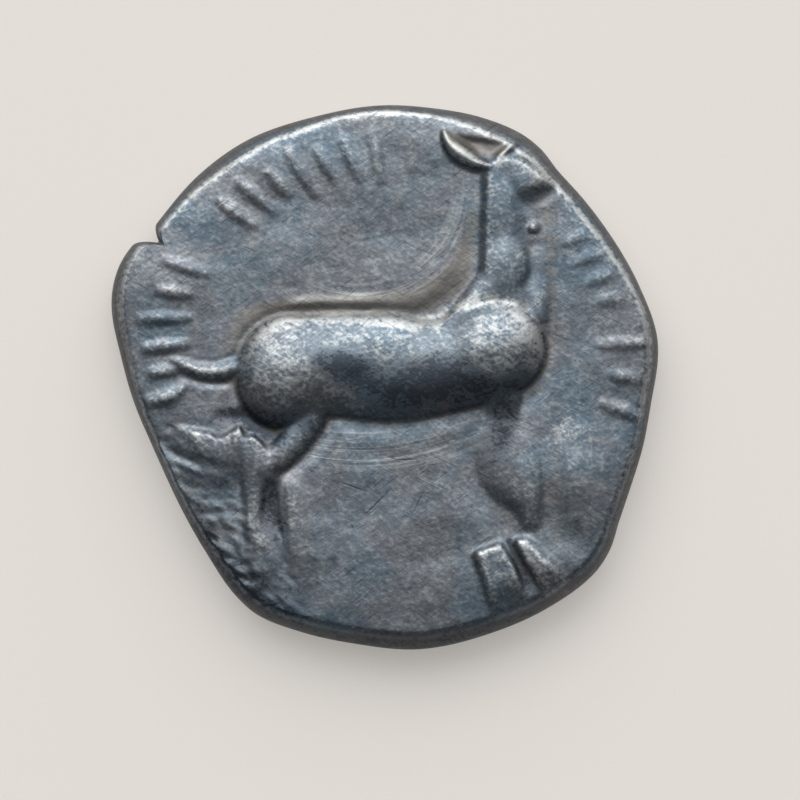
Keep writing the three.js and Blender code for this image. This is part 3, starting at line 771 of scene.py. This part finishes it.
# %% Brown stains
STAINS = [
    patch((-50, -10, 5, 0.5), (-52, 6, 5, 0.6), (-44, 20, 5, 0.8), (-24, 23, 5, 1), (0, 24, 6, 1),
          (14, 26, 7, 1), (24, 34, 7, 1), (27, 46, 5, 0.7), (30, 62, 3, 0.3)),
    patch((22, 78, 4, 0.7), (30, 75.6, 5, 1), (38, 74.6, 4, 1)),
    patch((-82, 50, 5, 1), (-77, 45, 4, 0.8)),
    patch((57, -24, 5, 0.3), (55, -38, 6, 0.5), (58, -52, 6, 0.4)),
    patch((34, -40, 5, 0.3), (41, -49, 5, 0.5)),
    patch((53, 56, 5, 0.5), (54.6, 40, 3.6, 0.6), (55, 24, 3, 0.6), (54.6, 6, 3, 0.5)),
    patch((-72, -30, 6, 0.5), (-58, -50, 8, 0.5), (-44, -66, 8, 0.4)),
]
print("stains:", len(STAINS))

# %% Masks from the heights
FACET_FADE = 0.5
WALL_SHARE = 0.3


def raised(raster, blur_radius, height):
    """0 where a place lies no higher than what is around it, 1 where it stands out by `height`."""
    return np.clip((raster - blur(raster, blur_radius)) / height, 0, 1)


def mask(shapes, x, y):
    return np.max([shape(x / DIE_UNIT, y / DIE_UNIT) for shape in shapes], axis=0)


# The rim's facet is coloured as bare metal: partly wear of the arris, partly a painted highlight line,
# strongest on the upper and right rim.
def facet_wear_and_highlight(x, y):
    bearing = np.degrees(np.arctan2(y, x))
    return smooth_step(rim_facet(bearing, flan_radius(bearing) - np.hypot(x, y)), 0, FACET_FADE)


def wall_mask(x, y):
    """0 on the face, rising over the last part of the rim to 1 on the outer wall."""
    bearing = np.degrees(np.arctan2(y, x))
    from_edge = flan_radius(bearing) - crack_depth(bearing) - np.hypot(x, y)
    return 1 - smooth_step(from_edge / edge_width(bearing), WALL_SHARE, 1)


# %% Worn places with painted highlights, hollow and sheltered places
WORN_BLUR = 0.3 * MM
WORN_HEIGHT = 0.13 * MM
PROUD_FROM = 0.3 * MM
PROUD_TO = 0.95 * MM
PROUD_WEAR = 0.3
HOLLOW_BLUR = 0.15 * MM
HOLLOW_DEPTH = 0.09 * MM
SHELTER_BLUR = 0.5 * MM
SHELTER_DEPTH = 0.3 * MM

proud = PROUD_WEAR * smooth_step(blur(stag_raster, WEAR_RADIUS) - FLAN_THICKNESS, PROUD_FROM, PROUD_TO)
# Painted highlights are added to the real wear here.
bare_and_highlit = facet_wear_and_highlight(raster_x, raster_y) + mask(BARE_AND_HIGHLIT_SPOTS + [CREST_HIGHLIGHT], raster_x, raster_y)
worn_and_highlit_raster = np.clip(raised(stag_raster, WORN_BLUR, WORN_HEIGHT) + proud + bare_and_highlit, 0, 1)
hollow_raster = raised(-stag_raster, HOLLOW_BLUR, HOLLOW_DEPTH)
shelter_raster = np.maximum(
    raised(-stag_raster, SHELTER_BLUR, SHELTER_DEPTH), mask(STAINS, raster_x, raster_y),
)
print("worn, mean over the raster:", round(float(worn_and_highlit_raster.mean()), 3))


# %% The masks go into the mesh
def attribute(name, top_values, edge_values, under_values):
    values = np.concatenate([top_values.ravel(), edge_values, under_values.ravel()])
    mesh.attributes.new(name, "FLOAT", "POINT").data.foreach_set("value", values.astype(np.float32))
    print(name, "mean:", round(float(values.mean()), 3))


edge_x, edge_y = edge_points[:, 0], edge_points[:, 1]
on_edge, on_underside = np.zeros(len(edge_points)), np.zeros(under_x.size)
under_worn = read_raster(raised(-under_raster, WORN_BLUR, WORN_HEIGHT), under_x, under_y)
under_hollow = read_raster(raised(under_raster, WORN_BLUR, WORN_HEIGHT), under_x, under_y)
# Worn metal, with the painted highlights on the rim's facet and the stag's upper edge.
attribute("worn_and_highlit", read_raster(worn_and_highlit_raster, top_x, top_y), on_edge, under_worn)
attribute("hollow", read_raster(hollow_raster, top_x, top_y), on_edge, under_hollow)
attribute("shelter", read_raster(shelter_raster, top_x, top_y), on_edge, under_hollow)
attribute("streaks", mask(STREAKS, top_x, top_y), on_edge, on_underside)
# Patina, with painted shade on the lower flank, under the haunch and under the jaw.
attribute("patina_and_shade", mask(PATINA_AND_SHADE, top_x, top_y), mask(PATINA_AND_SHADE, edge_x, edge_y), on_underside)
attribute("wall", wall_mask(top_x, top_y), wall_mask(edge_x, edge_y), on_underside)

# %% [markdown]
# ## Shader sums as Python
#
# A material is a tree of nodes, and a long sum takes many of them. This small class lets us write
# the sum as we would on paper: each operator adds its Math node. The reflected forms let a plain
# number stand on the left.

# %% A class for shader values
class Shade:
    """One output of a node, which can be added, multiplied and compared like a number."""

    def __init__(self, tree, socket):
        self.tree, self.socket = tree, socket

    def math(self, operation, *values):
        return add_node(self.tree, "ShaderNodeMath", {"operation": operation}, dict(enumerate(values)))

    def __add__(self, other):
        return self.math("ADD", self, other)

    def __sub__(self, other):
        return self.math("SUBTRACT", self, other)

    def __rsub__(self, other):
        return self.math("SUBTRACT", other, self)

    def __mul__(self, other):
        return self.math("MULTIPLY", self, other)

    def __truediv__(self, other):
        return self.math("DIVIDE", self, other)

    def __pow__(self, other):
        return self.math("POWER", self, other)

    __radd__ = __add__
    __rmul__ = __mul__

    def between(self, start, end):
        """0 at `start`, 1 at `end`, and smooth in between."""
        return add_node(self.tree, "ShaderNodeMapRange", {"interpolation_type": "SMOOTHSTEP"},
                        {"Value": self, "From Min": start, "From Max": end})


def add_node(tree, kind, settings=None, sockets=None, output=0):
    """Adds a node, makes its settings, then fills its sockets with values or links."""
    node = tree.nodes.new(kind)
    for name, setting in (settings or {}).items():
        setattr(node, name, setting)
    for name, value in (sockets or {}).items():
        if isinstance(value, Shade):
            tree.links.new(value.socket, node.inputs[name])
        else:
            node.inputs[name].default_value = value
    return Shade(tree, node.outputs[output])


# %% [markdown]
# ## Noise of several grains
#
# Everything on old silver is mottled: at the size of the whole coin by the toning, at a fraction of
# a millimetre by corrosion. Noise read in the coin's own coordinates stays put when the coin moves.
# Stretched noise makes hairs and streaks: we squeeze one coordinate before the noise reads it.

# %% Noise in the coin's own coordinates
silver = bpy.data.materials.new("toned_silver")
silver.use_nodes = True
tree = silver.node_tree
tree.nodes.clear()
place = add_node(tree, "ShaderNodeTexCoord", output="Object")
position = add_node(tree, "ShaderNodeSeparateXYZ", {}, {0: place})
place_x = Shade(tree, position.socket.node.outputs["X"]) / DIE_UNIT
place_y = Shade(tree, position.socket.node.outputs["Y"]) / DIE_UNIT


def noise(size_mm, detail=4, roughness=0.5, vector=place, distortion=0.0):
    return add_node(tree, "ShaderNodeTexNoise", {}, {
        "Vector": vector, "Scale": 1 / (size_mm * MM), "Detail": detail, "Roughness": roughness,
        "Distortion": distortion,
    }, output="Fac")


def together(x, y):
    return add_node(tree, "ShaderNodeCombineXYZ", {}, {"X": x * MM, "Y": y * MM})


def hairs(turn, length, spacing, seed):
    """Fine lines along one direction, in die units."""
    cos, sin = math.cos(math.radians(turn)), math.sin(math.radians(turn))
    along = (place_x * cos + place_y * sin) / length + seed
    across = (place_y * cos - place_x * sin) / spacing
    return noise(size_mm=1, detail=1, vector=together(along, across))


ZONE_SIZE, ZONE_SHIFT = 9, 40

speckle = noise(size_mm=0.14, detail=2, roughness=0.6)
mottle = noise(size_mm=0.42, detail=3, roughness=0.6, distortion=0.8)
rising = hairs(turn=12, length=5, spacing=1.2, seed=5)
falling = hairs(turn=-38, length=4, spacing=1.1, seed=15)
brushed = rising * 0.5 + falling * 0.5
blotch = noise(size_mm=2.6, detail=2)
zone = noise(size_mm=4.5, detail=1, vector=together(place_y / ZONE_SIZE + ZONE_SHIFT, place_x / ZONE_SIZE))
print("noise nodes:", sum(node.bl_idname == "ShaderNodeTexNoise" for node in tree.nodes))

# %% [markdown]
# ## Streaks and scratches
#
# Behind the neck the metal flowed in arcs about one centre, and below the belly the same arcs are
# wide enough to look nearly level. They are noise read by the distance from that centre. A few
# scratches cross the field below the belly. Each is the distance to a short line: nought on the
# line, and one a hair away.

# %% Streaks and scratches
ARC_CENTRE = (-8, 62)
STREAK_WIDTH = 1.5
STREAKS_PER_RADIAN = 1.2
SCRATCH_WIDTH = 0.55
SCRATCHES = [
    ((-9.4, -48.3), (4.4, -34.5)),
    ((8.1, -47.3), (14.3, -34.5)),
    ((1.8, -27.3), (12.3, -26.9)),
    ((-16.3, -33.8), (-3.4, -38.4)),
    ((-11, -47.9), (-10, -50.3)),
]

from_x, from_y = place_x - ARC_CENTRE[0], place_y - ARC_CENTRE[1]
from_centre = (from_x ** 2 + from_y ** 2) ** 0.5
bearing = from_x.math("ARCTAN2", from_y, from_x)
along_arcs = together(from_centre / STREAK_WIDTH, bearing * STREAKS_PER_RADIAN)
streak = noise(size_mm=1, detail=2, vector=along_arcs)


def from_scratch(start, end):
    """0 along the middle of a spindle from start to end, 1 at its edge."""
    middle = [(a + b) / 2 * DIE_UNIT for a, b in zip(start, end)]
    reach = math.dist(start, end) / 2 * DIE_UNIT
    turn = math.atan2(end[1] - start[1], end[0] - start[0])
    moved = add_node(tree, "ShaderNodeMapping", {"vector_type": "TEXTURE"}, {
        "Vector": place, "Location": (*middle, 0), "Rotation": (0, 0, turn),
        "Scale": (reach, SCRATCH_WIDTH * DIE_UNIT, 1),
    })
    return add_node(tree, "ShaderNodeVectorMath", {"operation": "LENGTH"}, {0: moved}, output="Value")


nearest = from_scratch(*SCRATCHES[0])
for ends in SCRATCHES[1:]:
    nearest = nearest.math("MINIMUM", nearest, from_scratch(*ends))
scratches = 1 - nearest.between(0, 1)
rising_lines = hairs(turn=38, length=14, spacing=0.5, seed=3).between(0.6, 0.72)
falling_lines = hairs(turn=-24, length=18, spacing=0.5, seed=9).between(0.62, 0.74)
hair_lines = rising_lines + falling_lines
print("scratches:", len(SCRATCHES), "nodes so far:", len(tree.nodes))

# %% [markdown]
# ## Toned silver
#
# Clean silver is a near-white mirror. On this coin sulphur has toned the field blue-grey, rubbing
# has kept the high places pale, and brown dirt fills the hollows. Painted highlights along lit edges
# and painted shade on the stag's lower flank, under the haunch, under the jaw and on the outer wall
# join them. So the colour is mixed from a few by the attributes, and noise breaks up every boundary.
# The grain of the old surface is a bump, which catches the light at places that no colour could.

# %% The colours of the metal
TONED = (0.155, 0.187, 0.217, 1)
TONED_PURPLE = (0.165, 0.178, 0.2, 1)
TONED_TEAL = (0.13, 0.175, 0.215, 1)
BARE = (0.6, 0.615, 0.6, 1)
DARK = (0.035, 0.045, 0.06, 1)
BROWNED = (0.25, 0.225, 0.19, 1)
DIRT = (0.075, 0.062, 0.050, 1)
# The outer wall's colour is darkened to paint the shade on the steep wall.
SHADED_WALL = (0.095, 0.09, 0.085, 1)
NOISE_MIDDLE = 0.5


def mix(factor, first, second):
    return add_node(tree, "ShaderNodeMix", {"data_type": "RGBA"},
                    {"Factor": factor, 6: first, 7: second}, output=2)


def read(name):
    return add_node(tree, "ShaderNodeAttribute", {"attribute_name": name}, output="Fac")


hollow, shelter, worn_and_highlit, streaks, patina_and_shade, wall = (
    read(name) for name in ("hollow", "shelter", "worn_and_highlit", "streaks", "patina_and_shade", "wall")
)
speckled, mottled, haired = speckle - NOISE_MIDDLE, mottle - NOISE_MIDDLE, brushed - NOISE_MIDDLE
grain = speckled * 1.2 + mottled * 1.2 + haired * 1.4
# Worn metal and painted highlights turn pale.
rubbed_and_highlit = (worn_and_highlit - patina_and_shade * 0.3 + grain).between(0.16, 1.2)
# Patina and painted shade turn the metal dark.
patina_and_shade_dark = (patina_and_shade * 0.85 + grain * 1.3).between(0.35, 1.0)
dirty = (hollow + speckled * 0.7 + mottled * 0.5).between(0.3, 1.0)
browned = (shelter + speckled * 0.5 + mottled * 0.9).between(0.2, 1.0)
# Painted shade on the outer wall.
wall_shade = (wall + mottled * 0.5).between(0.3, 0.8)
pitted = (speckle * 0.3 + mottle * 0.3 + brushed * 0.4).between(0.46, 0.36)
fibres = (speckle * 0.35 + mottle * 0.3 + brushed * 0.35).between(0.45, 0.64)
streaked = streaks * streak.between(0.46, 0.66)

# %% The colours laid over each other
# A mask, how far its colour covers what lies below, and the colour
LAYERS = [
    (fibres, 0.27, BARE),
    (streaked, 0.3, BARE),
    # Worn metal and painted highlights.
    (rubbed_and_highlit, 0.8, BARE),
    (pitted, 0.45, DARK),
    (browned, 0.62, BROWNED),
    (wall_shade, 0.8, mix(fibres * 0.5, SHADED_WALL, TONED)),
    # Patina and painted shade.
    (patina_and_shade_dark, 0.85, DARK),
    (dirty, 0.75, DIRT),
    (hair_lines, 0.4, DARK),
    (scratches, 0.55, DARK),
]
colour = mix(zone.between(0.42, 0.6), TONED, TONED_TEAL)
colour = mix(blotch.between(0.4, 0.6), colour, TONED_PURPLE)
for layer_mask, cover, layer_colour in LAYERS:
    colour = mix(layer_mask * cover, colour, layer_colour)
print("layers of colour:", len(LAYERS))

# %% The grain and the surface
GRAIN_STRENGTH = 0.5
GRAIN_DEPTH = 0.03 * MM
SILVER_ROUGHNESS = 0.46

height = speckle * 0.35 + mottle * 0.6 + brushed * 0.5 + streaked * 0.25 - hair_lines * 0.12 - scratches * 0.4
bump = add_node(tree, "ShaderNodeBump", {}, {
    "Strength": GRAIN_STRENGTH, "Distance": GRAIN_DEPTH, "Height": height,
})
surface = add_node(tree, "ShaderNodeBsdfPrincipled", {}, {
    "Base Color": colour,
    "Metallic": 1 - dirty * 0.5 - wall_shade * 0.2,
    "Roughness": SILVER_ROUGHNESS - rubbed_and_highlit * 0.02 + dirty * 0.25 + wall_shade * 0.15,
    "Normal": bump,
})
tree.links.new(surface.socket, tree.nodes.new("ShaderNodeOutputMaterial").inputs["Surface"])
mesh.materials.append(silver)
print("nodes in the silver:", len(tree.nodes))

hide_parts("coin")
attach(coin, "root")

# %% [markdown]
# ## Floor, light and camera
#
# The coin lies on a plain pale floor, which glows a little, like a lit plate, so that the shadow
# stays as pale as in the photo. One wide soft lamp stands beyond the stag's back, and the light from
# all around is brightest there too. Slopes that face it shine, and slopes that face away go dark.
# The camera looks straight down. One pixel of the photo is a fixed length on the coin, which gives
# the camera's place. The Standard view keeps the contrast of a plain photo, which the film-like
# default would soften.

# %% The floor
FLOOR_SIZE = 0.6
FLOOR_COLOUR = (0.45, 0.42, 0.392, 1)
FLOOR_ROUGHNESS = 0.9
FLOOR_GLOW = (0.79, 0.755, 0.715, 1)
FLOOR_GLOW_STRENGTH = 0.43

half = FLOOR_SIZE / 2
floor_corners = [(-half, -half, 0), (half, -half, 0), (half, half, 0), (-half, half, 0)]
floor_mesh = bpy.data.meshes.new("floor")
floor_mesh.from_pydata(floor_corners, [], [(0, 1, 2, 3)])
floor = bpy.data.objects.new("floor", floor_mesh)
bpy.context.scene.collection.objects.link(floor)
paper = bpy.data.materials.new("pale_floor")
paper.use_nodes = True
paper_inputs = paper.node_tree.nodes["Principled BSDF"].inputs
paper_inputs["Base Color"].default_value = FLOOR_COLOUR
paper_inputs["Roughness"].default_value = FLOOR_ROUGHNESS
paper_inputs["Emission Color"].default_value = FLOOR_GLOW
paper_inputs["Emission Strength"].default_value = FLOOR_GLOW_STRENGTH
floor_mesh.materials.append(paper)

# %% The lamp, which points at the coin
LAMP_PLACE = (-0.07, 0.19, 0.27)
LAMP_WIDTH, LAMP_HEIGHT = 0.34, 0.2
LAMP_WATTS = 0.36
LAMP_COLOUR = (1, 0.99, 0.97)

lamp = bpy.data.lights.new("key_lamp", "AREA")
lamp.shape = "RECTANGLE"
lamp.size = LAMP_WIDTH
lamp.size_y = LAMP_HEIGHT
lamp.energy = LAMP_WATTS
lamp.color = LAMP_COLOUR
lamp_holder = bpy.data.objects.new("key_lamp", lamp)
lamp_holder.location = LAMP_PLACE
lamp_holder.rotation_euler = lamp_holder.location.to_track_quat("Z", "Y").to_euler()
bpy.context.scene.collection.objects.link(lamp_holder)
print("lamp to coin, mm:", round(lamp_holder.location.length / MM))

# %% Light from all around, brighter beyond the stag's back
SKY_BRIGHT = (2.9, 2.92, 2.94, 1)
SKY_DARK = (0.1, 0.104, 0.108, 1)
SKY_AXIS = (0.06, 0.76, 0.65)
SKY_DARK_UNTIL, SKY_BRIGHT_FROM = 0.42, 1.22

world = bpy.data.worlds.new("soft_studio")
world.use_nodes = True
sky = world.node_tree
towards = add_node(sky, "ShaderNodeTexCoord", output="Generated")
facing = add_node(sky, "ShaderNodeVectorMath", {"operation": "DOT_PRODUCT"}, {0: towards, 1: SKY_AXIS},
                  output="Value")
brightness = facing.between(SKY_DARK_UNTIL, SKY_BRIGHT_FROM)
sky_colour = add_node(sky, "ShaderNodeMix", {"data_type": "RGBA"},
                      {"Factor": brightness, 6: SKY_DARK, 7: SKY_BRIGHT}, output=2)
sky.links.new(sky_colour.socket, sky.nodes["Background"].inputs["Color"])
bpy.context.scene.world = world
bpy.context.scene.view_settings.view_transform = "Standard"
print("sky nodes:", len(sky.nodes))

# %% The camera
PIXEL = 0.036537 * MM
PHOTO_SIZE = 800
COIN_PIXEL = (384.5, 377.0)
LENS = 300
SENSOR = 36
CLIP_START = 10 * MM

camera_data = bpy.data.cameras.new("camera")
camera_data.lens = LENS
camera_data.sensor_width = SENSOR
camera = bpy.data.objects.new("camera", camera_data)
view_width = PHOTO_SIZE * PIXEL
camera.location = (
    (PHOTO_SIZE / 2 - COIN_PIXEL[0]) * PIXEL,
    (COIN_PIXEL[1] - PHOTO_SIZE / 2) * PIXEL,
    FLAN_THICKNESS / 2 + view_width * LENS / SENSOR,
)
camera_data.clip_start = CLIP_START
bpy.context.scene.collection.objects.link(camera)
bpy.context.scene.camera = camera
print("camera height, mm:", round(camera.location.z / MM, 1))
